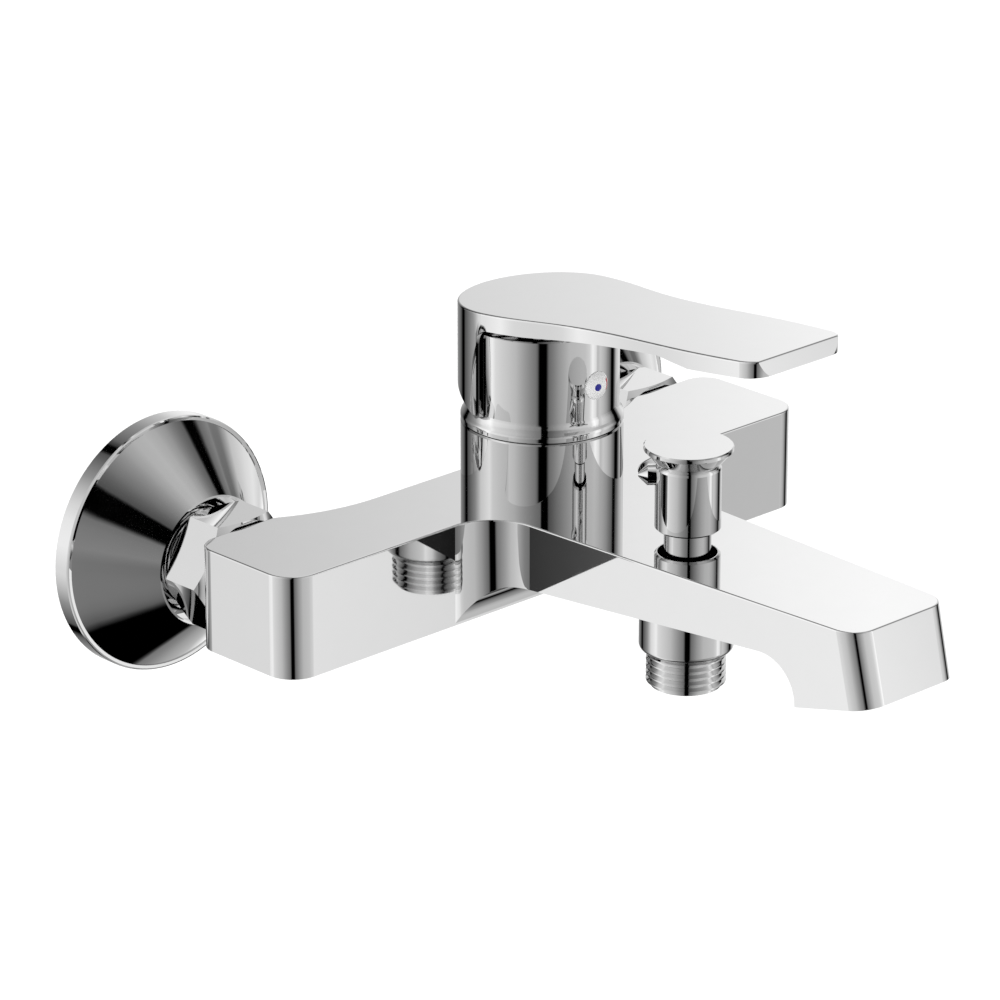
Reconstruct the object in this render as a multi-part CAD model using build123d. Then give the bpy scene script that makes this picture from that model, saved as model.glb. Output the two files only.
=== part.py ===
from build123d import *
import os
from math import cos, hypot, radians, sin, sqrt, tan

os.makedirs("parts", exist_ok=True)

# Wall mounted bath and shower mixer. Millimetres.
# X runs along the bar, +Y goes into the wall, +Z is up. The origin lies on the finished wall,
# halfway between the two inlets and level with them. Heights are counted from the inlet axis.

# ---- driving dimensions -------------------------------------------------------------------
INLET_SPACING = 150.0
INLET_X = INLET_SPACING / 2
RUNNING_GAP = 0.3           # clearance between bodies that move past each other
PIN_FIT = 0.05              # radial clearance of a pin or rod in its hole
BIG = 300.0                 # longer than the whole faucet, for cutting tools

# pipe threads: G1/2 on the wall and on the shower outlet, G3/4 at the union nuts
THREAD_PITCH = 1.814
THREAD_DEPTH = 1.162
G_HALF_R = 20.955 / 2
G_THREE_QUARTER_R = 26.441 / 2

# bar
BAR_HALF = 94.0             # half its length
BAR_TOP = 14.0
BAR_BOTTOM = -14.0
BAR_FRONT_Y = -74.0
BAR_REAR_Y = -37.0          # rear face of the pads behind the inlets
WAIST_REAR_Y = -44.7        # rear face between the pads
WAIST_HALF = 38.0           # half length of the straight stretch of the waist
PAD_INNER_X = 66.5
FRONT_CORNER_R = 8.0
REAR_CORNER_R = 6.5
EDGE_R = 0.45               # softened outer edges

# tower and spout
TOWER_Y = -68.7
TOWER_R = 21.5
TOWER_TOP = 33.3
SPOUT_ROOT_HALF = 23.2      # half width where the spout leaves the bar
SPOUT_TAPER = 0.0487        # half width lost per millimetre of reach
SPOUT_FILLET_R = 14.0       # upright fillet between bar and spout
NOSE_TOP_Y = -197.2
NOSE_TILT = 13.2            # degrees that the nose block leans forward
NOSE_FOOT_Y = -201.7
NOSE_FOOT_Z = -5.0
HEEL_Y = -178.0             # rear edge of the outlet face
UNDERSIDE_ROOT_Z = -4.9     # underside of the spout, carried back to the bar front
UNDERSIDE_RISE = 0.0663     # the spout thins towards the nose by this much per millimetre
ROOT_ARCH_R = 9.0
NOSE_ARCH_R = 11.5
NOSE_CORNER_R = 6.5

# cartridge, 35 mm class, on the tower axis
SEAT_Z = 3.0
CARTRIDGE_R = 17.5
CARTRIDGE_BORE_R = 17.8
PORT_R = 3.3
PORT_X = 7.0
PORT_BACK = 6.7             # inlet ports lie this far behind the tower axis
OUTLET_PORT_FRONT = 10.0    # the mixed water port lies this far in front of it
BASE_TOP = 8.0
FIXED_DISC_TOP = 11.0
MOVING_DISC_TOP = 14.0
CARRIER_TOP = 18.5
ROTOR_BOTTOM = 19.0
SHOULDER_Z = 29.0           # shoulder of the case that the nut presses on
CASE_TOP = 36.0
PIVOT_Z = 31.0              # lever lift axis
PIVOT_PIN_R = 1.5
STEM_HALF = 3.5
STEM_TOP = 58.0
BALL_R = 2.6                # ball at the foot of the stem, which pushes the disc carrier
BALL_Z = 17.6
SEAL_OUTER = 4.8
SEAL_HEIGHT = 1.4
MOVING_DISC_Y = 3.0         # the moving disc rests this far behind the tower axis
MOVING_DISC_R = 11.0
LUG_INNER_X = 8.9           # inner faces of the rotor's guide lugs
CASE_BORE_R = 15.8
NECK_R = 13.0               # neck of the case
ROTOR_NECK_R = 10.5
ROTOR_SHOULDER = 27.4
NUT_THREAD_R = 18.75
NUT_COLLAR_R = 17.25

# sleeve under the lever
SLEEVE_BOTTOM = 33.5
SLEEVE_BORE_R = 17.3
SLEEVE_RIM_TOP = 35.2
SLEEVE_CONE_TOP = 37.3
SLEEVE_R = 20.3
SLEEVE_TOP = 61.2
SLEEVE_LOW_TOP = 52.8       # top of its cut-out, which lets the lever's boss swing back
SLEEVE_LOW_SPAN = 66.0      # its cut-out reaches this many degrees either side of the back
LEVER_TURN = 45.0           # the lever turns this many degrees each way
LEVER_LIFT = 25.0           # and lifts this many degrees

# indicator plug in the front of the sleeve
PLUG_Z = 47.4
PLUG_R = 3.8
PLUG_FACE = 21.9            # crown of its domed face, in front of the tower axis
PLUG_DOME_R = 5.6
MARK_DEPTH = 0.5
COLD_MARK_X = -0.9
COLD_MARK_R = 1.0
HOT_MARK = (2.5, 3.4)       # inner and outer radius of the red arc
HOT_MARK_HALF_ANGLE = 32.0

# lever: distances in front of the tower axis are counted along -Y
LEVER_TOP_Z = 67.4          # top face above the tower axis
LEVER_TILT = 5.2            # degrees that the top face rises towards the front
LEVER_REACH = 91.4
LEVER_HUB_R = 22.2
LEVER_TIP_CORNER_R = 6.0
LEVER_THICK = 4.7
LEVER_ROOF = 2.2            # thickness above the recess that the sleeve's top enters
TIP_LEAN = 1.3              # the tip's end face stands this much further out at its foot
SKIRT_INNER_R = 21.0
SKIRT_FRONT = 2.0           # the skirt starts this far behind the axis
SKIRT_BOTTOM_Z = 37.0       # its lower edge, carried to the axis
SKIRT_CUT = 0.45            # slope of that edge, so that it is level when the lever is up
LEVER_BOSS_R = 6.0
LEVER_BOSS_FOOT = 43.0
SOCKET_HALF = STEM_HALF + 0.05
SCREW_R = 2.0

# diverter and shower outlet, on one upright axis in the spout
DIVERTER_Y = -122.5
KNOB_TRAVEL = 8.0
KNOB_R = 8.6
KNOB_BOTTOM = 17.3
KNOB_WALL = 0.8
KNOB_NECK_R = 8.0
KNOB_NECK_TOP = 34.8        # the cap flares out from here
KNOB_CAP_R = 11.65
KNOB_CAP_Z = 38.9
KNOB_TOP = 40.1
SIDE_PIN_Z = 31.8
SIDE_PIN_TURN = 136.0       # direction of the side pin about the knob's axis, in degrees
SIDE_PIN_HEAD_R = 2.8
SIDE_PIN_SHANK_R = 1.5
SIDE_PIN_SEAT = 8.1         # its head starts this far from the knob's axis
SIDE_PIN_TIP = 12.9
BUSH_R = 6.15
BUSH_TOP = 27.0
BUSH_THREAD_R = 5.0
RING_LOW = 21.0             # groove of the O-ring in the bush
RING_HIGH = 23.0
RING_R = 4.6
ROD_R = 3.0
ROD_TOP = 34.9
ROD_TAIL_R = 2.0
VALVE_R = 8.2
VALVE_LOW = -7.6
VALVE_HIGH = -5.2
VALVE_NUT_HEIGHT = 2.4
SEAL_THICK = 1.4
SPRING_R = 4.4
SPRING_WIRE_R = 0.4
SPRING_TURNS = 6
BOSS_R = 12.4
BOSS_BOTTOM = -15.9
BOSS_ROOT_R = 2.5           # fillet between the boss and the underside of the spout
BOSS_EDGE_R = 1.4
CHAMBER_R = 9.0
LOWER_SEAT_Z = -9.3
UPPER_SEAT_Z = 4.5
UPPER_ROOM_Z = 6.0
WATERWAY_TOP = 11.0
SEAT_HOLE_R = 6.2
NIPPLE_R = 10.0             # outlet nipple, where it screws into the boss
OUTLET_BORE_R = 7.6
OUTLET_END_Z = -25.9

# wall side
ESCUTCHEON_R = 34.9
ESCUTCHEON_RIM = 5.0        # height of its outer rim
ESCUTCHEON_CONE_R = 33.6    # the cone starts here, inside a narrow flat ring
ESCUTCHEON_NECK_R = 17.7
ESCUTCHEON_NECK_Y = -21.8
SHEET = 0.8                 # escutcheon sheet thickness
NUT_FLATS = 30.0
NUT_FRONT_Y = -36.2
NUT_REAR_Y = -22.2
UNION_FACE_Y = -29.5
UNION_OFFSET = 8.0          # the wall thread sits this far below the G3/4 thread
WALL_THREAD_END = 18.0
BEND_FRONT_Y = -12.0        # the offset piece between its two threads
BEND_REAR_Y = -4.0
BEND_R = 11.5
INLET_THREAD_R = 9.5        # inlet nipple, where it screws into the body
INLET_GRIP = 14.0
INLET_SHANK_R = 9.2
FLANGE_Y = -33.5            # the nut pulls on the nipple's flange here
NIPPLE_END_Y = -31.5
GASKET_R = 12.0
WATER_R = 7.0

# aerator in the nose
AERATOR_R = 10.2
AERATOR_BORE_R = 8.4
AERATOR_DEPTH = 8.0


# ---- helpers ------------------------------------------------------------------------------
def cyl(radius, low, high):
    """Upright cylinder about Z between two heights."""
    return Pos(0, 0, low) * Cylinder(radius, high - low, align=(Align.CENTER, Align.CENTER, Align.MIN))


def tube(outer, inner, low, high):
    """Upright ring."""
    return cyl(outer, low, high) - cyl(inner, low - 1, high + 1)


def block(x, y, z):
    """Box from three (low, high) pairs."""
    centre = Pos(sum(x) / 2, sum(y) / 2, sum(z) / 2)
    return centre * Box(x[1] - x[0], y[1] - y[0], z[1] - z[0])


def turned(corners):
    """Solid of revolution about Z from a closed outline of (radius, height) corners."""
    outline = make_face(Plane.XZ * Polyline(*corners, close=True))
    return revolve(outline, Axis.Z, 360)


def side_profile(outline, half_width):
    """Slab with a (y, z) sketch as its section, centred on x = 0."""
    return extrude(Plane.YZ * outline, half_width, both=True)


def thread_corners(radius, start, end):
    """(radius, height) corners of a male pipe thread's ridges, going from start to end."""
    step = THREAD_PITCH if end > start else -THREAD_PITCH
    turns = int(abs(end - start) / THREAD_PITCH)
    root = radius - THREAD_DEPTH
    corners = []
    for turn in range(turns):
        foot = start + turn * step
        corners += [(root, foot), (root, foot + 0.1 * step)]
        corners += [(radius, foot + 0.45 * step), (radius, foot + 0.65 * step)]
    corners.append((root, start + turns * step))
    return corners


def on_tower(shape):
    """Move a shape from the Z axis to the tower axis."""
    return Pos(0, TOWER_Y, 0) * shape


def on_diverter(shape):
    """Move a shape from the Z axis to the diverter axis."""
    return Pos(0, DIVERTER_Y, 0) * shape


def at_inlet(shape, side):
    """Turn a shape so that its +Z points into the wall, and put it on an inlet axis."""
    return Pos(side * INLET_X, 0, 0) * Rot(X=-90) * shape


def at_outlet(shape):
    """Put a shape on the outlet face of the nose, with its +Z pointing up into the spout."""
    middle_y = (HEEL_Y + NOSE_FOOT_Y) / 2
    middle_z = NOSE_FOOT_Z - (HEEL_Y - NOSE_FOOT_Y) / 2 * tan(radians(NOSE_TILT))
    return Pos(0, middle_y, middle_z) * Rot(X=-NOSE_TILT) * shape


def save(shape, node):
    """Write one node."""
    export_step(shape, f"parts/{node}.step")


# ---- mixer body ---------------------------------------------------------------------------
def bar_outline():
    """Half-symmetric plan of the bar, with pads behind the inlets and a waist between them."""
    flare_run = PAD_INNER_X - WAIST_HALF
    flare_rise = BAR_REAR_Y - WAIST_REAR_Y
    flare_r = (flare_run ** 2 + flare_rise ** 2) / (2 * flare_rise)
    bar = Pos(0, (BAR_FRONT_Y + BAR_REAR_Y) / 2) * Rectangle(2 * BAR_HALF, BAR_REAR_Y - BAR_FRONT_Y)
    front = [v for v in bar.vertices() if v.Y < WAIST_REAR_Y]
    bar = fillet(front, FRONT_CORNER_R)
    rear = [v for v in bar.vertices() if v.Y > BAR_REAR_Y - 1 and abs(v.X) > BAR_HALF - 1]
    bar = fillet(rear, REAR_CORNER_R)
    middle = Rectangle(2 * WAIST_HALF, 2 * flare_rise)
    bar -= Pos(0, BAR_REAR_Y) * middle
    for side in (-1, 1):
        flare = Pos(side * WAIST_HALF, WAIST_REAR_Y + flare_r) * Circle(flare_r)
        quarter = Pos(side * (WAIST_HALF + flare_run / 2), BAR_REAR_Y - flare_rise / 2)
        bar -= flare & (quarter * Rectangle(flare_run, flare_rise))
    pad_ends = [v for v in bar.vertices() if abs(abs(v.X) - PAD_INNER_X) < 0.5 and v.Y > BAR_REAR_Y - 0.5]
    return fillet(pad_ends, 3.0)


def spout_outline():
    """Plan of the spout, tapering to the nose and carried back into the bar."""
    back_y = WAIST_REAR_Y - 5
    front_y = NOSE_FOOT_Y - 10
    corners = []
    for y, side in ((back_y, -1), (back_y, 1), (front_y, 1), (front_y, -1)):
        corners.append((side * (SPOUT_ROOT_HALF + SPOUT_TAPER * (y - BAR_FRONT_Y)), y))
    return make_face(Polyline(*corners, close=True))


def casting_outside():
    """Outer shape of the bar and spout, before the tower."""
    plan = bar_outline() + spout_outline()
    on_front = [v for v in plan.vertices() if abs(v.Y - BAR_FRONT_Y) < 0.5]
    roots = [v for v in on_front if abs(v.X) < SPOUT_ROOT_HALF + 2]
    plan = fillet(roots, SPOUT_FILLET_R)
    slab = Pos(0, 0, BAR_BOTTOM) * extrude(plan, BAR_TOP - BAR_BOTTOM)

    heel_z = NOSE_FOOT_Z - (HEEL_Y - NOSE_FOOT_Y) * tan(radians(NOSE_TILT))
    arch_z = UNDERSIDE_ROOT_Z + UNDERSIDE_RISE * (BAR_FRONT_Y - HEEL_Y)
    side = make_face(Polyline(
        (0, BAR_TOP), (0, BAR_BOTTOM), (BAR_FRONT_Y, BAR_BOTTOM), (BAR_FRONT_Y, UNDERSIDE_ROOT_Z),
        (HEEL_Y, arch_z), (HEEL_Y, heel_z), (NOSE_FOOT_Y, NOSE_FOOT_Z), (NOSE_TOP_Y, BAR_TOP), close=True))
    side = fillet([v for v in side.vertices() if abs(v.Y - UNDERSIDE_ROOT_Z) < 0.01], ROOT_ARCH_R)
    side = fillet([v for v in side.vertices() if abs(v.Y - arch_z) < 0.01], NOSE_ARCH_R)
    casting = slab & side_profile(side, BAR_HALF + 10)

    nose = [e for e in casting.edges() if (e @ 0.5).Y < HEEL_Y - 10 and abs((e @ 0).Z - (e @ 1).Z) > 15]
    casting = fillet(nose, NOSE_CORNER_R)
    rims = [e for e in casting.edges() if min((e @ 0).Z, (e @ 1).Z) > BAR_TOP - 0.01]
    casting = fillet(rims, EDGE_R)
    return casting


def body_waterways():
    """Everything that is bored or cored out of the casting, as one tool."""
    bores = on_tower(cyl(CARTRIDGE_BORE_R, SEAT_Z, TOWER_TOP + 5))
    bores += on_tower(cyl(NUT_THREAD_R, SHOULDER_Z - 1, TOWER_TOP + 5))
    feed_z = -6.5
    feed_y = TOWER_Y + PORT_BACK
    for side in (-1, 1):
        inlet = cyl(INLET_THREAD_R, BAR_REAR_Y - INLET_GRIP, BAR_REAR_Y + 5)
        inlet += cyl(6.5, feed_y - 1, BAR_REAR_Y)
        bores += at_inlet(inlet, side)
        feed = Rot(Y=90) * cyl(4.0, PORT_X - 2, INLET_X + 2)
        bores += Pos(0, feed_y, feed_z) * (feed if side > 0 else Rot(Z=180) * feed)
        bores += Pos(side * PORT_X, feed_y, 0) * cyl(PORT_R, feed_z, SEAT_Z + 1)
    bores += block((-7, 7), (DIVERTER_Y + 5, TOWER_Y - OUTLET_PORT_FRONT + PORT_R), (-0.5, SEAT_Z + 0.01))
    bores += on_diverter(cyl(CHAMBER_R, BOSS_BOTTOM - 1, UPPER_SEAT_Z))
    bores += on_diverter(cyl(NIPPLE_R, BOSS_BOTTOM - 1, LOWER_SEAT_Z))
    bores += on_diverter(cyl(SEAT_HOLE_R, UPPER_SEAT_Z - 1, WATERWAY_TOP))
    bores += on_diverter(cyl(8.5, UPPER_ROOM_Z, WATERWAY_TOP))
    bores += on_diverter(cyl(BUSH_THREAD_R, WATERWAY_TOP - 1, BAR_TOP + 5))
    bores += block((-7, 7), (HEEL_Y - 8, DIVERTER_Y), (UPPER_ROOM_Z, WATERWAY_TOP))
    bores += at_outlet(cyl(AERATOR_R + 0.05, -5, AERATOR_DEPTH + 1.2) + cyl(7.5, 0, 17.3))
    return bores


def lies_on_boss(edge):
    """Whether an edge runs round the outlet boss."""
    places = [edge @ (step / 4) for step in range(5)]
    on_wall = all(abs(hypot(p.X, p.Y - DIVERTER_Y) - BOSS_R) < 0.01 for p in places)
    return on_wall and max(p.Z for p in places) - min(p.Z for p in places) < 4


def mixer_body():
    """Bar, tower and spout in one hollow casting, with the boss of the shower outlet."""
    casting = casting_outside()
    tower = turned([(0, 0), (TOWER_R, 0), (TOWER_R, TOWER_TOP - 0.4), (TOWER_R - 0.4, TOWER_TOP),
                    (0, TOWER_TOP)])
    casting += on_tower(tower)
    casting += on_diverter(cyl(BOSS_R, BOSS_BOTTOM, 3))
    around = [e for e in casting.edges() if lies_on_boss(e)]
    casting = fillet([e for e in around if (e @ 0.5).Z > BOSS_BOTTOM + 5], BOSS_ROOT_R)
    casting = fillet([e for e in casting.edges() if lies_on_boss(e) and (e @ 0.5).Z < BOSS_BOTTOM + 0.1],
                     BOSS_EDGE_R)
    return casting - body_waterways()


# ---- wall side: one of each for the hot and the cold inlet ----------------------------------
def escutcheon():
    """Conical wall cover in sheet metal, with a web near its neck that threads onto the union."""
    slope = (ESCUTCHEON_CONE_R - ESCUTCHEON_NECK_R) / (-ESCUTCHEON_NECK_Y - ESCUTCHEON_RIM)
    wall = SHEET * sqrt(1 + slope ** 2)
    web_y = ESCUTCHEON_NECK_Y + 2.2
    web_r = G_THREE_QUARTER_R + 0.15
    neck_bore = ESCUTCHEON_NECK_R - 0.6
    inner_rim = ESCUTCHEON_R - SHEET
    shoulder_y = -ESCUTCHEON_RIM + (wall - ESCUTCHEON_CONE_R + inner_rim) / slope
    cone_r_at_web = ESCUTCHEON_NECK_R + slope * (web_y + 1 - ESCUTCHEON_NECK_Y) - wall
    return turned([
        (ESCUTCHEON_R, 0), (ESCUTCHEON_R, 0.5 - ESCUTCHEON_RIM), (ESCUTCHEON_R - 0.15, 0.15 - ESCUTCHEON_RIM),
        (ESCUTCHEON_R - 0.5, -ESCUTCHEON_RIM), (ESCUTCHEON_CONE_R, -ESCUTCHEON_RIM),
        (ESCUTCHEON_NECK_R, ESCUTCHEON_NECK_Y), (neck_bore, ESCUTCHEON_NECK_Y), (neck_bore, web_y),
        (web_r, web_y), (web_r, web_y + 1), (cone_r_at_web, web_y + 1),
        (inner_rim, shoulder_y), (inner_rim, 0)])


def eccentric_union():
    """S-union: G3/4 towards the mixer, G1/2 into the wall, on two parallel axes."""
    ridges = thread_corners(G_THREE_QUARTER_R, UNION_FACE_Y, BEND_FRONT_Y - 1)
    front = turned([(0, UNION_FACE_Y)] + ridges
                   + [(G_THREE_QUARTER_R - THREAD_DEPTH, BEND_FRONT_Y), (0, BEND_FRONT_Y)])
    wall = turned([(0, BEND_REAR_Y)] + thread_corners(G_HALF_R, BEND_REAR_Y, WALL_THREAD_END)
                  + [(G_HALF_R - THREAD_DEPTH, WALL_THREAD_END), (0, WALL_THREAD_END)])
    drop = Pos(0, UNION_OFFSET, 0)
    bend_outline = make_hull([*Circle(BEND_R).edges(), *(drop * Circle(BEND_R)).edges()])
    bend = Pos(0, 0, BEND_FRONT_Y) * extrude(bend_outline, BEND_REAR_Y - BEND_FRONT_Y)
    middle = (BEND_FRONT_Y + BEND_REAR_Y) / 2
    solid = front + bend + drop * wall - cyl(WATER_R, UNION_FACE_Y - 1, middle)
    return solid - drop * cyl(WATER_R, BEND_FRONT_Y + 0.5, WALL_THREAD_END + 1)


def union_nut():
    """Hexagon nut with both ends chamfered; its front wall holds the nipple's flange."""
    prism = Pos(0, 0, NUT_FRONT_Y) * extrude(
        RegularPolygon(NUT_FLATS / 2, 6, major_radius=False), NUT_REAR_Y - NUT_FRONT_Y)
    corner_r = NUT_FLATS / sqrt(3)
    face_r = NUT_FLATS / 2 - 0.3
    bevel = (corner_r + 1 - face_r) * 0.6
    envelope = turned([
        (0, NUT_FRONT_Y), (face_r, NUT_FRONT_Y), (corner_r + 1, NUT_FRONT_Y + bevel),
        (corner_r + 1, NUT_REAR_Y - bevel), (face_r, NUT_REAR_Y), (0, NUT_REAR_Y)])
    nut = (prism & envelope) - cyl(G_THREE_QUARTER_R + 0.03, FLANGE_Y, NUT_REAR_Y + 1)
    return nut - cyl(INLET_SHANK_R + 0.1, NUT_FRONT_Y - 1, FLANGE_Y + 1)


def inlet_nipple():
    """Threaded into the body; its flange is what the union nut pulls on."""
    back = BAR_REAR_Y - INLET_GRIP + 0.5
    return turned([
        (WATER_R - 1, back), (INLET_THREAD_R - 0.02, back), (INLET_THREAD_R - 0.02, BAR_REAR_Y - 0.4),
        (INLET_SHANK_R, BAR_REAR_Y - 0.4), (INLET_SHANK_R, FLANGE_Y),
        (GASKET_R - 0.3, FLANGE_Y), (GASKET_R - 0.3, NIPPLE_END_Y), (WATER_R - 1, NIPPLE_END_Y)])


def union_gasket():
    """Flat fibre washer squeezed between nipple and union."""
    return tube(GASKET_R, WATER_R, NIPPLE_END_Y, UNION_FACE_Y)


# ---- cartridge ----------------------------------------------------------------------------
def port_places():
    """(x, y) of the hot, cold and mixed water ports about the tower axis."""
    return [(-PORT_X, PORT_BACK), (PORT_X, PORT_BACK), (0, -OUTLET_PORT_FRONT)]


def port_tools(radius, low, high):
    """A cylinder at each port."""
    return [Pos(x, y, 0) * cyl(radius, low, high) for x, y in port_places()]


def cartridge_base():
    """Plastic bottom of the cartridge with a counterbore for each port seal."""
    base = cyl(CARTRIDGE_R, SEAT_Z, BASE_TOP)
    base -= port_tools(PORT_R, SEAT_Z - 1, BASE_TOP + 1)
    return base - port_tools(SEAL_OUTER, SEAT_Z - 1, SEAT_Z + SEAL_HEIGHT)


def cartridge_seals():
    """Three port seals, one solid each."""
    ring = tube(SEAL_OUTER - 0.05, PORT_R, SEAT_Z, SEAT_Z + SEAL_HEIGHT)
    return Compound([Pos(x, y, 0) * ring for x, y in port_places()])


def ceramic_disc_fixed():
    """Lower ceramic disc, with the three ports."""
    disc = cyl(CASE_BORE_R - 0.8, BASE_TOP, FIXED_DISC_TOP)
    return disc - port_tools(PORT_R - 0.4, BASE_TOP - 1, FIXED_DISC_TOP + 1)


def ceramic_disc_moving():
    """Upper ceramic disc; a pocket in its lower face joins the ports that it lies over."""
    disc = Pos(0, MOVING_DISC_Y, 0) * cyl(MOVING_DISC_R, FIXED_DISC_TOP + 0.1, MOVING_DISC_TOP)
    pocket = Pos(0, MOVING_DISC_Y - 4, 0) * cyl(5.0, FIXED_DISC_TOP, FIXED_DISC_TOP + 1.6)
    return disc - pocket


def disc_carrier():
    """Carries the moving disc; guided between the rotor's lugs and pushed by the stem's ball."""
    carrier = Pos(0, MOVING_DISC_Y, 0) * cyl(MOVING_DISC_R, MOVING_DISC_TOP, CARRIER_TOP)
    flats = LUG_INNER_X - RUNNING_GAP
    for side in (-1, 1):
        edge = (flats, BIG) if side > 0 else (-BIG, -flats)
        carrier -= block(edge, (-BIG, BIG), (MOVING_DISC_TOP + 1, BIG))
    pocket_floor = BALL_Z - BALL_R - RUNNING_GAP
    return carrier - block((-3.3, 3.3), (-3.1, 3.1), (pocket_floor, BIG))


def cartridge_case():
    """Plastic housing of the cartridge, from the base up to the neck that the nut surrounds."""
    case = cyl(CARTRIDGE_R, BASE_TOP, SHOULDER_Z) + cyl(NECK_R, SHOULDER_Z - 1, CASE_TOP)
    case -= cyl(CASE_BORE_R, BASE_TOP - 1, ROTOR_SHOULDER + RUNNING_GAP)
    return case - cyl(ROTOR_NECK_R + RUNNING_GAP, BASE_TOP, CASE_TOP + 1)


def cartridge_rotor():
    """Turns with the lever in the case, and carries the pivot pin and two guide lugs."""
    rotor = cyl(CASE_BORE_R - RUNNING_GAP, ROTOR_BOTTOM, ROTOR_SHOULDER)
    rotor += cyl(ROTOR_NECK_R, ROTOR_SHOULDER - 0.4, CASE_TOP - 1)
    for side in (-1, 1):
        lug = (LUG_INNER_X, 11.5) if side > 0 else (-11.5, -LUG_INNER_X)
        rotor += block(lug, (-6, 6), (MOVING_DISC_TOP + 1.4, ROTOR_BOTTOM + 1))
    slot = STEM_HALF + 0.5
    rotor -= block((-slot, slot), (-10, 6), (ROTOR_BOTTOM - 1, 27))
    rotor -= block((-slot, slot), (-6, 8), (26.9, CASE_TOP + 1))
    return rotor - Pos(0, 0, PIVOT_Z) * Rot(Y=90) * Cylinder(PIVOT_PIN_R + 0.01, 30)


def stem_pivot_pin():
    """Steel pin that the stem tilts on."""
    return Pos(0, 0, PIVOT_Z) * Rot(Y=90) * Cylinder(PIVOT_PIN_R, 19)


def cartridge_stem():
    """Square stem above the pin, round arm and ball below it."""
    stem = block((-STEM_HALF, STEM_HALF), (-STEM_HALF, STEM_HALF), (PIVOT_Z - 4, STEM_TOP))
    stem = chamfer(stem.edges().group_by(Axis.Z)[-1], 0.6)
    stem += cyl(2.2, BALL_Z, PIVOT_Z - 3) + Pos(0, 0, BALL_Z) * Sphere(BALL_R)
    hole = Pos(0, 0, PIVOT_Z) * Rot(Y=90) * Cylinder(PIVOT_PIN_R + PIN_FIT, 30)
    return stem - hole


def cartridge_nut():
    """Threaded ring that holds the cartridge down; the sleeve screws onto its collar."""
    nut = cyl(NUT_THREAD_R - 0.05, SHOULDER_Z, TOWER_TOP - 0.2) + cyl(NUT_COLLAR_R, SHOULDER_Z, 38.5)
    nut -= cyl(NECK_R + 0.1, SHOULDER_Z - 1, 39)
    for turn in range(4):
        nut -= Rot(Z=45 + 90 * turn) * block((12, 20), (-2, 2), (36.5, 39))
    return nut


# ---- sleeve, lever and indicator ------------------------------------------------------------
def cartridge_sleeve():
    """Fixed chrome sleeve over the cartridge, cut away where the lifted lever comes down."""
    sleeve = turned([
        (SLEEVE_BORE_R, SLEEVE_BOTTOM), (TOWER_R - 0.4, SLEEVE_BOTTOM), (TOWER_R, SLEEVE_BOTTOM + 0.4),
        (TOWER_R, SLEEVE_RIM_TOP), (SLEEVE_R, SLEEVE_CONE_TOP), (SLEEVE_R, SLEEVE_TOP - 0.4),
        (SLEEVE_R - 0.4, SLEEVE_TOP), (SLEEVE_BORE_R, SLEEVE_TOP)])
    for z, radius in ((SLEEVE_RIM_TOP, 1.5), (SLEEVE_CONE_TOP, 5.0)):
        sleeve = fillet([e for e in sleeve.edges() if abs((e @ 0).Z - z) + abs((e @ 1).Z - z) < 0.01], radius)
    lifted = radians(LEVER_LIFT + LEVER_TILT)
    roof_arm = (LEVER_TOP_Z - LEVER_ROOF - PIVOT_Z) * cos(radians(LEVER_TILT))
    roof_z = PIVOT_Z + roof_arm / cos(lifted) - 2 * RUNNING_GAP
    reach = 2 * SLEEVE_R
    above_roof = make_face(Polyline((0, roof_z), (reach, roof_z - reach * tan(lifted)), (reach, roof_z),
                                    close=True))
    for turn in (-LEVER_TURN, 0, LEVER_TURN):
        sleeve -= Rot(Z=turn) * side_profile(above_roof, reach)
    span = radians(SLEEVE_LOW_SPAN)
    side, back = reach * sin(span), reach * cos(span)
    boss_sector = make_face(Polyline((0, 0), (side, back), (side, reach), (-side, reach), (-side, back),
                                     close=True))
    sleeve -= Pos(0, 0, SLEEVE_LOW_TOP) * extrude(boss_sector, BIG)
    sleeve -= Pos(0, 0, PLUG_Z) * Rot(X=90) * cyl(PLUG_R + 0.03, 10, 25)
    return on_tower(sleeve)


def domed_pin(radius, low):
    """Round pin drawn along Z, with the plug's domed face at its upper end."""
    dome_centre = PLUG_FACE - PLUG_DOME_R
    return cyl(radius, low, PLUG_FACE + 1) & (Pos(0, 0, dome_centre) * Sphere(PLUG_DOME_R))


def in_plug(shape):
    """Put a shape drawn along Z on the plug's axis, pointing forward."""
    return on_tower(Pos(0, 0, PLUG_Z) * Rot(X=90) * shape)


def hot_mark_outline(grow=0.0):
    """Short arc on the right of the plug's face."""
    inner, outer = HOT_MARK
    reach = outer * 2
    half = radians(HOT_MARK_HALF_ANGLE)
    wedge = make_face(Polyline((0, 0), (reach * cos(half), reach * sin(half)),
                               (reach * cos(half), -reach * sin(half)), close=True))
    return (Circle(outer + grow) - Circle(inner - grow)) & wedge


def indicator_marks():
    """Blue dot and red arc, let into the plug's face."""
    floor = PLUG_FACE - PLUG_DOME_R + sqrt(PLUG_DOME_R ** 2 - HOT_MARK[1] ** 2) - MARK_DEPTH
    face = domed_pin(PLUG_R, floor)
    cold = face & (Pos(COLD_MARK_X, 0, 0) * cyl(COLD_MARK_R, floor, PLUG_FACE + 1))
    hot = face & (Pos(0, 0, floor) * extrude(hot_mark_outline(), 4))
    return cold, hot


def indicator_plug():
    """White plug in the sleeve's front hole, which closes the way to the set screw."""
    plug = domed_pin(PLUG_R, SLEEVE_BORE_R + 0.2)
    for mark in indicator_marks():
        plug -= mark
    return in_plug(plug)


def lever_height(front):
    """Height of the lever's top face at a distance in front of the tower axis."""
    return LEVER_TOP_Z + front * tan(radians(LEVER_TILT))


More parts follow.
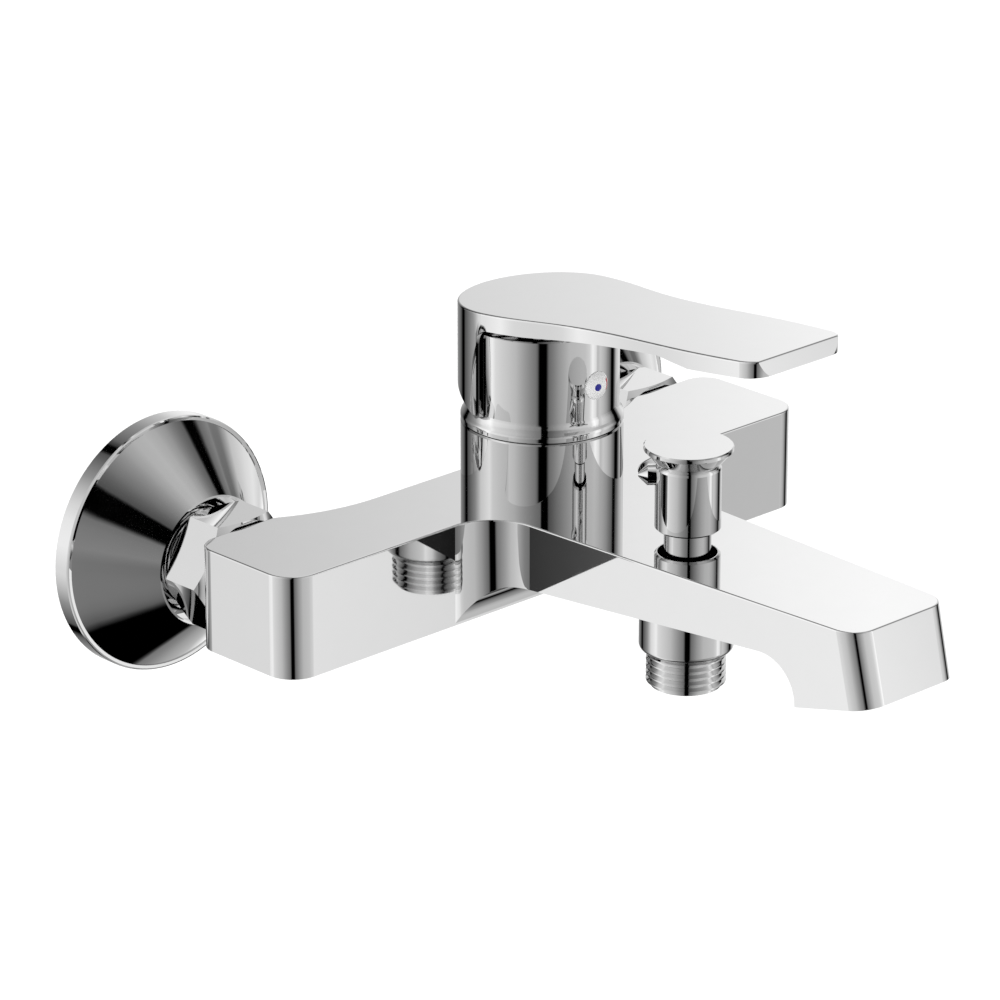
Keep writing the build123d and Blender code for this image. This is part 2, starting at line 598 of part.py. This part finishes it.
def lever_plan():
    """Paddle outline about the tower axis: round hub, soft waist, rounded tip."""
    waist_half = 17.1
    handle_half = 17.6
    tip_half = 16.3
    tip = LEVER_REACH + TIP_LEAN
    sides = []
    for side in (-1, 1):
        curve = Spline((side * LEVER_HUB_R, 0), (side * 18.5, -25.5), (side * waist_half, -45),
                       (side * handle_half, -65), (side * tip_half, -tip),
                       tangents=((0, -1), (-side * 0.1, -1)))
        sides.append(curve)
    back = ThreePointArc((-LEVER_HUB_R, 0), (0, LEVER_HUB_R), (LEVER_HUB_R, 0))
    end = Line((-tip_half, -tip), (tip_half, -tip))
    plan = make_face([back, *sides, end])
    return fillet([v for v in plan.vertices() if v.Y < 1 - tip], LEVER_TIP_CORNER_R)


def lever_side():
    """(y, z) section of the lever: thin plate, thicker lip at the tip, skirt at the back."""
    plate_front = 14.0
    lip_back, lip_front = 59.0, 70.0
    thin = 2.9
    tip_thick = 4.2
    back = LEVER_HUB_R + 1
    corners = [
        (back, lever_height(-back)),
        (-LEVER_REACH, lever_height(LEVER_REACH)),
        (-LEVER_REACH - TIP_LEAN, lever_height(LEVER_REACH) - tip_thick),
        (-lip_front, lever_height(lip_front) - LEVER_THICK),
        (-lip_back, lever_height(lip_back) - thin),
        (-plate_front, lever_height(plate_front) - LEVER_THICK),
        (SKIRT_FRONT, lever_height(-SKIRT_FRONT) - LEVER_THICK),
        (SKIRT_FRONT, SKIRT_BOTTOM_Z + SKIRT_CUT * SKIRT_FRONT),
        (back, SKIRT_BOTTOM_Z + SKIRT_CUT * back)]
    outline = make_face(Polyline(*corners, close=True))
    inner = [v for v in outline.vertices() if abs(v.X - SKIRT_FRONT) < 0.01 and v.Y > PIVOT_Z + 20]
    outline = fillet(inner, 4.5)
    step = [v for v in outline.vertices() if abs(v.X + lip_back) < 0.01 or abs(v.X + lip_front) < 0.01]
    step = [v for v in step if v.Y < lever_height(-v.X) - 1]
    return fillet(step, 5.0)


def lever_handle():
    """Flat paddle with a skirt round the back of the sleeve and a socket for the stem."""
    plan = Pos(0, 0, PIVOT_Z) * extrude(lever_plan(), 60)
    lever = plan & side_profile(lever_side(), 40)
    tops = [e for e in lever.edges() if abs((e @ 0.5).Z - lever_height(-(e @ 0.5).Y)) < 0.01]
    lever = fillet(tops, 0.5)
    roof = make_face(Polyline((40, 0), (40, lever_height(-40) - LEVER_ROOF),
                              (-40, lever_height(40) - LEVER_ROOF), (-40, 0), close=True))
    lever -= cyl(SKIRT_INNER_R, 0, 90) & side_profile(roof, 40)
    lever += cyl(LEVER_BOSS_R, LEVER_BOSS_FOOT, lever_height(0) - LEVER_ROOF / 2)
    lever -= block((-SOCKET_HALF, SOCKET_HALF), (-SOCKET_HALF, SOCKET_HALF), (40, STEM_TOP + 0.2))
    return on_tower(lever - Pos(0, 0, PLUG_Z) * Rot(X=90) * cyl(SCREW_R + 0.02, 0, 10))


def lever_set_screw():
    """Grub screw with a hexagon socket, in the front of the lever's boss."""
    screw = cyl(SCREW_R, STEM_HALF + 0.1, LEVER_BOSS_R - 0.2)
    socket = Pos(0, 0, LEVER_BOSS_R - 1.6) * extrude(RegularPolygon(1.0, 6, major_radius=False), 3)
    return in_plug(screw - socket)


# ---- diverter and shower outlet ---------------------------------------------------------------
def side_pin_place(shape):
    """Put a shape drawn along Z on the side pin's axis, pointing outward."""
    return Rot(Z=SIDE_PIN_TURN) * Pos(0, 0, SIDE_PIN_Z) * Rot(Y=90) * shape


def diverter_knob():
    """Pull knob: flared cap on a hollow barrel that covers the bush."""
    hollow_r = KNOB_R - KNOB_WALL
    hollow_top = BUSH_TOP + 1.5
    rod_bore = ROD_R + 0.02
    knob = turned([
        (rod_bore, hollow_top), (hollow_r, hollow_top), (hollow_r, KNOB_BOTTOM),
        (KNOB_R - 0.5, KNOB_BOTTOM), (KNOB_R, KNOB_BOTTOM + 0.5), (KNOB_R, KNOB_NECK_TOP - 0.8),
        (KNOB_R - 0.2, KNOB_NECK_TOP - 0.2), (KNOB_NECK_R, KNOB_NECK_TOP),
        (KNOB_CAP_R - 0.2, KNOB_CAP_Z - 0.1), (KNOB_CAP_R, KNOB_CAP_Z + 0.1),
        (KNOB_CAP_R, KNOB_TOP - 0.3), (KNOB_CAP_R - 0.3, KNOB_TOP), (0, KNOB_TOP),
        (0, ROD_TOP + 0.1), (rod_bore, ROD_TOP + 0.1)])
    knob -= side_pin_place(cyl(SIDE_PIN_SHANK_R + 0.02, 2, 12))
    knob -= side_pin_place(cyl(SIDE_PIN_HEAD_R + 0.02, SIDE_PIN_SEAT, 20))
    return on_diverter(knob)


def diverter_knob_pin():
    """Pin with a conical head that locks the knob to the rod."""
    pin = turned([
        (0, ROD_R + 0.05), (SIDE_PIN_SHANK_R, ROD_R + 0.05), (SIDE_PIN_SHANK_R, SIDE_PIN_SEAT),
        (SIDE_PIN_HEAD_R, SIDE_PIN_SEAT), (SIDE_PIN_HEAD_R, 10.5), (0.5, SIDE_PIN_TIP), (0, SIDE_PIN_TIP)])
    return on_diverter(side_pin_place(pin))


def diverter_bush():
    """Chrome guide bush screwed into the spout, with a groove for the rod's O-ring."""
    bush = cyl(BUSH_R, BAR_TOP, BUSH_TOP) + cyl(BUSH_THREAD_R - 0.02, WATERWAY_TOP, BAR_TOP + 1)
    bush -= cyl(ROD_R + PIN_FIT, 0, BUSH_TOP + 1)
    return on_diverter(bush - cyl(RING_R, RING_LOW, RING_HIGH))


def rod_o_ring():
    """Rubber ring in the bush that seals the rod."""
    return on_diverter(tube(RING_R - 0.02, ROD_R + 0.02, RING_LOW + 0.1, RING_HIGH - 0.1))


def diverter_rod():
    """Stainless rod from the knob down to the valve disc."""
    top_of_stack = VALVE_HIGH + SEAL_THICK
    tail_end = VALVE_LOW - VALVE_NUT_HEIGHT - 0.2
    rod = turned([
        (0, tail_end), (ROD_TAIL_R, tail_end), (ROD_TAIL_R, top_of_stack), (ROD_R, top_of_stack),
        (ROD_R, ROD_TOP), (0, ROD_TOP)])
    return on_diverter(rod)


def diverter_valve_disc():
    """Brass disc between its two seals."""
    return on_diverter(tube(VALVE_R, ROD_TAIL_R + 0.02, VALVE_LOW, VALVE_HIGH))


def diverter_seals():
    """Lower seal closes the shower outlet, upper seal closes the way to the spout."""
    lower = tube(VALVE_R - 0.2, 4.5, VALVE_LOW - SEAL_THICK, VALVE_LOW)
    upper = tube(VALVE_R - 0.2, ROD_TAIL_R + 0.02, VALVE_HIGH, VALVE_HIGH + SEAL_THICK)
    return on_diverter(lower), on_diverter(upper)


def diverter_valve_nut():
    """Small nut that clamps the disc on the rod."""
    hexagon = RegularPolygon(3.0, 6, major_radius=False)
    nut = Pos(0, 0, VALVE_LOW - VALVE_NUT_HEIGHT) * extrude(hexagon, VALVE_NUT_HEIGHT)
    return on_diverter(nut - cyl(ROD_TAIL_R + 0.02, VALVE_LOW - 5, VALVE_LOW + 1))


def diverter_spring():
    """Return spring between the disc stack and the bush."""
    low = VALVE_HIGH + SEAL_THICK + SPRING_WIRE_R + 0.1
    high = WATERWAY_TOP - SPRING_WIRE_R - 0.1
    path = Helix(pitch=(high - low) / SPRING_TURNS, height=high - low, radius=SPRING_R)
    section = Plane(origin=path @ 0, z_dir=path % 0) * Circle(SPRING_WIRE_R)
    return on_diverter(Pos(0, 0, low) * sweep(section, path))


def shower_outlet_nipple():
    """Screwed up into the boss; its top is the lower valve seat, its foot a G1/2 thread."""
    relief = G_HALF_R - THREAD_DEPTH
    wide_top = BOSS_BOTTOM + 1.5
    corners = [(SEAT_HOLE_R, LOWER_SEAT_Z), (NIPPLE_R - 0.02, LOWER_SEAT_Z), (NIPPLE_R - 0.02, BOSS_BOTTOM),
               (relief, BOSS_BOTTOM)]
    corners += thread_corners(G_HALF_R, BOSS_BOTTOM - 0.3, OUTLET_END_Z + 0.1)
    corners += [(relief, OUTLET_END_Z), (OUTLET_BORE_R, OUTLET_END_Z), (OUTLET_BORE_R, wide_top),
                (SEAT_HOLE_R, wide_top)]
    return on_diverter(turned(corners))


# ---- aerator ------------------------------------------------------------------------------
def aerator_housing():
    """Chrome ring screwed flush into the outlet face."""
    lip_r = AERATOR_BORE_R - 0.7
    ring = turned([
        (AERATOR_BORE_R, 1.2), (lip_r, 0.5), (lip_r, 0.1), (AERATOR_R - 0.3, 0.1),
        (AERATOR_R, 0.4), (AERATOR_R, AERATOR_DEPTH), (AERATOR_BORE_R, AERATOR_DEPTH)])
    return at_outlet(ring)


def aerator_insert():
    """Plastic screen with a grid of square water holes."""
    pitch = 2.0
    hole = 1.3
    insert = cyl(AERATOR_BORE_R - 0.03, 1.25, 5.5)
    rows = range(-3, 4)
    holes = [Pos(i * pitch, j * pitch, 0) * Box(hole, hole, 20)
             for i in rows for j in rows if (i * i + j * j) ** 0.5 * pitch < AERATOR_BORE_R - 1.4]
    return at_outlet(insert - holes)


def aerator_seal():
    """Rubber ring behind the housing."""
    return at_outlet(tube(AERATOR_R, 7.8, AERATOR_DEPTH, AERATOR_DEPTH + 1.2))


# ---- build --------------------------------------------------------------------------------
save(mixer_body(), "mixer_body")
for label, sign in (("left", -1), ("right", 1)):
    save(at_inlet(escutcheon(), sign), f"escutcheon_{label}")
    save(at_inlet(eccentric_union(), sign), f"eccentric_union_{label}")
    save(at_inlet(union_nut(), sign), f"union_nut_{label}")
    save(at_inlet(inlet_nipple(), sign), f"inlet_nipple_{label}")
    save(at_inlet(union_gasket(), sign), f"union_gasket_{label}")

save(on_tower(cartridge_base()), "cartridge_base")
save(on_tower(cartridge_seals()), "cartridge_seals")
save(on_tower(ceramic_disc_fixed()), "ceramic_disc_fixed")
save(on_tower(ceramic_disc_moving()), "ceramic_disc_moving")
save(on_tower(disc_carrier()), "disc_carrier")
save(on_tower(cartridge_case()), "cartridge_case")
save(on_tower(cartridge_rotor()), "cartridge_rotor")
save(on_tower(stem_pivot_pin()), "stem_pivot_pin")
save(on_tower(cartridge_stem()), "cartridge_stem")
save(on_tower(cartridge_nut()), "cartridge_nut")
save(cartridge_sleeve(), "cartridge_sleeve")

cold_mark, hot_mark = indicator_marks()
save(indicator_plug(), "indicator_plug")
save(in_plug(cold_mark), "indicator_cold_mark")
save(in_plug(hot_mark), "indicator_hot_mark")
save(lever_handle(), "lever_handle")
save(lever_set_screw(), "lever_set_screw")

lower_seal, upper_seal = diverter_seals()
save(diverter_knob(), "diverter_knob")
save(diverter_knob_pin(), "diverter_knob_pin")
save(diverter_bush(), "diverter_bush")
save(rod_o_ring(), "diverter_rod_o_ring")
save(diverter_rod(), "diverter_rod")
save(diverter_valve_disc(), "diverter_valve_disc")
save(lower_seal, "diverter_lower_seal")
save(upper_seal, "diverter_upper_seal")
save(diverter_valve_nut(), "diverter_valve_nut")
save(diverter_spring(), "diverter_spring")
save(shower_outlet_nipple(), "shower_outlet_nipple")

save(aerator_housing(), "aerator_housing")
save(aerator_insert(), "aerator_insert")
save(aerator_seal(), "aerator_seal")
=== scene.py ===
from math import cos, pi, radians, sin

import bpy
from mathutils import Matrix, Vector

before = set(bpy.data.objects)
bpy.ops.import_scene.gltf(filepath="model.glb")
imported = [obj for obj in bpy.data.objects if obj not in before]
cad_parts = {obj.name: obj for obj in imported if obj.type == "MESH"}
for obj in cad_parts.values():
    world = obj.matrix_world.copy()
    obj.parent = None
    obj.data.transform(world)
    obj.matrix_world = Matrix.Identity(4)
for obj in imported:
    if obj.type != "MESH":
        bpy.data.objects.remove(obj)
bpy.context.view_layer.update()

# ---- camera -------------------------------------------------------------------------------
AIM = Vector((0.0, -0.0527, 0.0055))
VIEW_AZIMUTH = -43.8        # degrees; 0 looks along +Y
VIEW_ELEVATION = 21.0
DISTANCE = 1.4864
LENS = 200.8

# ---- studio: brightness seen in the chrome, by bearing --------------------------------------
# Bearings are degrees from the camera's own side, seen from above: 0 is at the camera, negative
# to its left. Brightness is on the display's scale, 0 black to 1 white. Three narrow black flags
# stand among broad pale panels.
BLACK = 0.015
LEFT_PANELS = (
    (-180, 0.83), (-176, 0.73), (-165, 0.55), (-155, 0.46), (-146, 0.37), (-141, 0.22),
    (-138.5, BLACK), (-133.5, BLACK), (-130, 0.31), (-110, 0.55), (-97, 0.83), (-80, 0.93),
    (-74, 0.84), (-64, 0.80), (-52, 0.76), (-40, 0.71), (-24, 0.57), (-10, 0.45), (-7, 0.36),
    (-4, BLACK), (0, BLACK))
RIGHT_PANELS = (
    (0, BLACK), (5, BLACK), (8, 0.33), (10, 0.41), (24, 0.57), (40, 0.70), (66, 0.745), (74, 0.80),
    (80, 0.94), (87, 0.85), (90, 0.71), (96, 0.77), (104, 0.70), (112, 0.59), (122, 0.35),
    (125, BLACK), (131, BLACK), (134, 0.31), (142, 0.70), (150, 0.77), (157, 0.83), (165, 0.78),
    (174, 0.94), (175.5, 0.97), (177.5, 0.92), (180, 0.83))
# Higher up, the front flag is narrower on its left, the right flag stands 6 degrees nearer to the
# camera, and the panels between them are more even.
HIGH_LEFT_PANELS = LEFT_PANELS[:-4] + ((-10, 0.47), (-2.5, 0.42), (-1, BLACK), (0, BLACK))
HIGH_RIGHT_PANELS = (
    (0, BLACK), (7, BLACK), (9, 0.30), (20, 0.43), (31, 0.53), (46, 0.65), (62, 0.73), (78, 0.74),
    (92, 0.68), (103, 0.57), (112, 0.43), (117, 0.36), (119.5, BLACK), (124, BLACK), (127, 0.40),
    (135, 0.57)) + RIGHT_PANELS[-8:]
LEFT_RISE = (-12, -2)       # elevations between which the high panels take over
RIGHT_RISE = (15, 22)
# The panels are brightest level with the faucet, and the floor below is black.
PANEL_LEVEL = 0.93
BY_ELEVATION = ((-90, 0.0), (-70, 0.0), (-65, 0.83), (-50, PANEL_LEVEL), (-18, PANEL_LEVEL), (-4, 1.0),
                (12, 0.98), (20, PANEL_LEVEL), (50, PANEL_LEVEL), (62, 0.84), (90, 0.80))
# On the right they fade towards the floor.
RIGHT_FOOT = ((-90, 0.6), (-66, 0.6), (-60, 0.66), (-52, 0.76), (-40, 0.78), (-30, 1.0), (90, 1.0))
DISPLAY_GAMMA = 2.2
CHROME_REFLECTANCE = 0.80
SOFT_LIGHT = 1.25           # even light that falls on everything that isn't a mirror

FLOOR_Z = -0.25
FLOOR_SIZE = 6.0

# ---- surface patterns -----------------------------------------------------------------------
PER_METRE = 100             # features in 10 mm to features in a metre
NOISE_DETAIL = 3.0
TURNING_DETAIL = 2.0
TURNING_DISTORTION = 0.6    # unevenness of the marks a lathe leaves
PATTERN_RANGE = (0.3, 0.7)  # levels of a pattern that give the lowest and highest roughness
RELIEF_DEPTH = 0.0001
CHROME_UNEVENNESS = 0.01


# ---- node helpers ---------------------------------------------------------------------------
def add(tree, kind, inputs=(), **settings):
    """Add a node. inputs maps a socket to a value or to another node's output."""
    made = tree.nodes.new(kind)
    for key, value in settings.items():
        setattr(made, key, value)
    for key, value in dict(inputs).items():
        if isinstance(value, bpy.types.NodeSocket):
            tree.links.new(value, made.inputs[key])
        else:
            made.inputs[key].default_value = value
    return made


def calc(tree, operation, first, second=0.0):
    """One step of arithmetic."""
    return add(tree, "ShaderNodeMath", {0: first, 1: second}, operation=operation).outputs[0]


def rescale(tree, value, low, high, new_low, new_high):
    """Clamped linear map from one range to another."""
    sockets = {"Value": value, "From Min": low, "From Max": high, "To Min": new_low, "To Max": new_high}
    return add(tree, "ShaderNodeMapRange", sockets).outputs[0]


def curve(tree, value, stops):
    """Straight lines through (position, level) stops. Levels lie between -1 and 1."""
    start, end = stops[0][0], stops[-1][0]
    ramp = add(tree, "ShaderNodeValToRGB", {0: rescale(tree, value, start, end, 0, 1)})
    elements = ramp.color_ramp.elements
    while len(elements) < len(stops):
        elements.new(1.0)
    for element, (position, level) in zip(elements, stops):
        element.position = (position - start) / (end - start)
        grey = (level + 1) / 2
        element.color = (grey, grey, grey, 1)
    return rescale(tree, ramp.outputs[0], 0, 1, -1, 1)


# ---- studio ---------------------------------------------------------------------------------
def degrees_of(tree, value):
    """Radians to degrees."""
    return calc(tree, "MULTIPLY", value, 180 / pi)


def stacked(tree, bearing, elevation, low_panels, high_panels, rise):
    """Brightness by bearing, with one row of panels above another."""
    height = rescale(tree, elevation, *rise, 0, 1)
    rows = {0: height, 2: curve(tree, bearing, low_panels), 3: curve(tree, bearing, high_panels)}
    return add(tree, "ShaderNodeMix", rows).outputs[0]


def studio_brightness(tree):
    """What the chrome sees in each direction, as scene light."""
    direction = add(tree, "ShaderNodeTexCoord").outputs["Generated"]
    turn = {"Vector": direction, "Angle": radians(-VIEW_AZIMUTH)}
    turned = add(tree, "ShaderNodeVectorRotate", turn, rotation_type="Z_AXIS").outputs[0]
    parts = add(tree, "ShaderNodeSeparateXYZ", {0: turned}).outputs
    bearing = degrees_of(tree, calc(tree, "ARCTAN2", parts[0], calc(tree, "MULTIPLY", parts[1], -1)))
    elevation = degrees_of(tree, calc(tree, "ARCSINE", parts[2]))

    left = stacked(tree, bearing, elevation, LEFT_PANELS, HIGH_LEFT_PANELS, LEFT_RISE)
    right = stacked(tree, bearing, elevation, RIGHT_PANELS, HIGH_RIGHT_PANELS, RIGHT_RISE)
    right = calc(tree, "MULTIPLY", right, curve(tree, elevation, RIGHT_FOOT))
    on_right = calc(tree, "GREATER_THAN", bearing, 0)
    mixed = add(tree, "ShaderNodeMix", {0: on_right, 2: left, 3: right}).outputs[0]
    level = calc(tree, "DIVIDE", curve(tree, elevation, BY_ELEVATION), PANEL_LEVEL)
    shown = calc(tree, "MULTIPLY", mixed, level)
    light = calc(tree, "POWER", shown, DISPLAY_GAMMA)
    return calc(tree, "DIVIDE", light, CHROME_REFLECTANCE)


def build_studio():
    """Panels for mirrors, even white light for the rest, and a white background."""
    world = bpy.data.worlds.new("studio")
    world.use_nodes = True
    tree = world.node_tree
    tree.nodes.clear()
    panels = add(tree, "ShaderNodeBackground", {"Strength": studio_brightness(tree)})
    even = add(tree, "ShaderNodeBackground", {"Strength": SOFT_LIGHT})
    for background in (panels, even):
        background.inputs["Color"].default_value = (1, 1, 1, 1)
    glossy = add(tree, "ShaderNodeLightPath").outputs["Is Glossy Ray"]
    mixed = add(tree, "ShaderNodeMixShader", {0: glossy, 1: even.outputs[0], 2: panels.outputs[0]})
    add(tree, "ShaderNodeOutputWorld", {0: mixed.outputs[0]})
    bpy.context.scene.world = world
    bpy.context.scene.view_settings.view_transform = "Standard"


def build_floor():
    """Wide white floor well below the faucet, which hangs in the air as on its wall."""
    bpy.ops.mesh.primitive_plane_add(size=FLOOR_SIZE, location=(AIM.x, AIM.y, FLOOR_Z))
    floor = bpy.context.active_object
    floor.name = "floor"
    floor.visible_glossy = False
    paint = finish("floor_white", (0.93, 0.93, 0.93), (0.96, 0.96, 0.96), (0.7, 0.9), 8.0)
    floor.data.materials.append(paint)


def build_camera():
    """Long lens from the photograph's side."""
    azimuth, elevation = radians(VIEW_AZIMUTH), radians(VIEW_ELEVATION)
    back = Vector((sin(azimuth) * cos(elevation), -cos(azimuth) * cos(elevation), sin(elevation)))
    data = bpy.data.cameras.new("camera")
    data.lens = LENS
    camera = bpy.data.objects.new("camera", data)
    camera.location = AIM + DISTANCE * back
    camera.rotation_mode = "QUATERNION"
    camera.rotation_quaternion = (-back).to_track_quat("-Z", "Y")
    bpy.context.scene.collection.objects.link(camera)
    bpy.context.scene.camera = camera


# ---- materials --------------------------------------------------------------------------------
def finish(name, dark, light, roughness, grain, metallic=0.0, bump=0.0, pattern="noise"):
    """Principled material whose colour, gloss and relief follow one procedural pattern.

    dark and light are the two colours, roughness is a low and a high value, and grain is how many
    features fit in 10 mm."""
    material = bpy.data.materials.new(name)
    material.use_nodes = True
    tree = material.node_tree
    tree.nodes.clear()
    where = add(tree, "ShaderNodeTexCoord").outputs["Object"]
    scale = grain * PER_METRE
    if pattern == "turned":
        sockets = {"Vector": where, "Scale": scale, "Detail": TURNING_DETAIL,
                   "Distortion": TURNING_DISTORTION}
        height = add(tree, "ShaderNodeTexWave", sockets, bands_direction="Y").outputs["Fac"]
    elif pattern == "flecks":
        height = add(tree, "ShaderNodeTexVoronoi", {"Vector": where, "Scale": scale}).outputs["Distance"]
    else:
        sockets = {"Vector": where, "Scale": scale, "Detail": NOISE_DETAIL}
        height = add(tree, "ShaderNodeTexNoise", sockets).outputs["Fac"]
    colour = add(tree, "ShaderNodeMix", {0: height, 6: (*dark, 1), 7: (*light, 1)}, data_type="RGBA")
    rough = rescale(tree, height, *PATTERN_RANGE, *roughness)
    sockets = {"Base Color": colour.outputs[2], "Roughness": rough, "Metallic": metallic}
    if bump:
        relief = add(tree, "ShaderNodeBump", {"Strength": bump, "Distance": RELIEF_DEPTH, "Height": height})
        sockets["Normal"] = relief.outputs[0]
    surface = add(tree, "ShaderNodeBsdfPrincipled", sockets)
    add(tree, "ShaderNodeOutputMaterial", {0: surface.outputs[0]})
    return material


def chrome():
    """Polished plating, with a faint unevenness in its gloss."""
    dark = (CHROME_REFLECTANCE - CHROME_UNEVENNESS,) * 3
    light = (CHROME_REFLECTANCE + CHROME_UNEVENNESS,) * 3
    return finish("chrome_plate", dark, light, (0.015, 0.04), 1.5, metallic=1.0)


def build_finishes():
    """One material for each of the record's slots."""
    return {
        "chrome": chrome(),
        "brass": finish("turned_brass", (0.62, 0.43, 0.20), (0.80, 0.60, 0.32), (0.22, 0.38), 12.0,
                        metallic=1.0, bump=0.25, pattern="turned"),
        "stem_brass": finish("milled_brass", (0.66, 0.47, 0.23), (0.78, 0.58, 0.31), (0.25, 0.4), 20.0,
                             metallic=1.0, bump=0.2),
        "stainless": finish("drawn_steel", (0.50, 0.50, 0.49), (0.64, 0.63, 0.62), (0.18, 0.32), 15.0,
                            metallic=1.0, bump=0.15),
        "rubber": finish("black_rubber", (0.015, 0.015, 0.016), (0.035, 0.035, 0.035), (0.55, 0.8), 25.0,
                         bump=0.5),
        "fibre": finish("pressed_fibre", (0.20, 0.06, 0.03), (0.36, 0.13, 0.07), (0.75, 0.95), 30.0,
                        bump=0.8, pattern="flecks"),
        "cartridge_plastic": finish("cartridge_resin", (0.56, 0.58, 0.60), (0.66, 0.68, 0.70), (0.4, 0.55),
                                    18.0, bump=0.2),
        "ceramic": finish("lapped_ceramic", (0.80, 0.79, 0.76), (0.88, 0.87, 0.84), (0.1, 0.22), 10.0,
                          bump=0.05),
        "plug_white": finish("plug_resin", (0.86, 0.86, 0.86), (0.90, 0.90, 0.90), (0.3, 0.4), 2.0),
        "mark_blue": finish("blue_mark", (0.006, 0.006, 0.24), (0.010, 0.010, 0.32), (0.3, 0.4), 20.0,
                            bump=0.1),
        "mark_red": finish("red_mark", (0.42, 0.010, 0.018), (0.54, 0.016, 0.028), (0.3, 0.4), 20.0,
                           bump=0.1),
        "aerator_plastic": finish("aerator_resin", (0.50, 0.51, 0.52), (0.60, 0.61, 0.62), (0.35, 0.5), 20.0,
                                  bump=0.2),
    }


def dress_nodes(finishes):
    """Give each CAD node the finish of its slot in the record."""
    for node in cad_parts.values():
        for place in node.material_slots:
            place.material = finishes[place.material.name.split(".")[0]]


# ---- build ------------------------------------------------------------------------------------
build_camera()
build_studio()
dress_nodes(build_finishes())
build_floor()
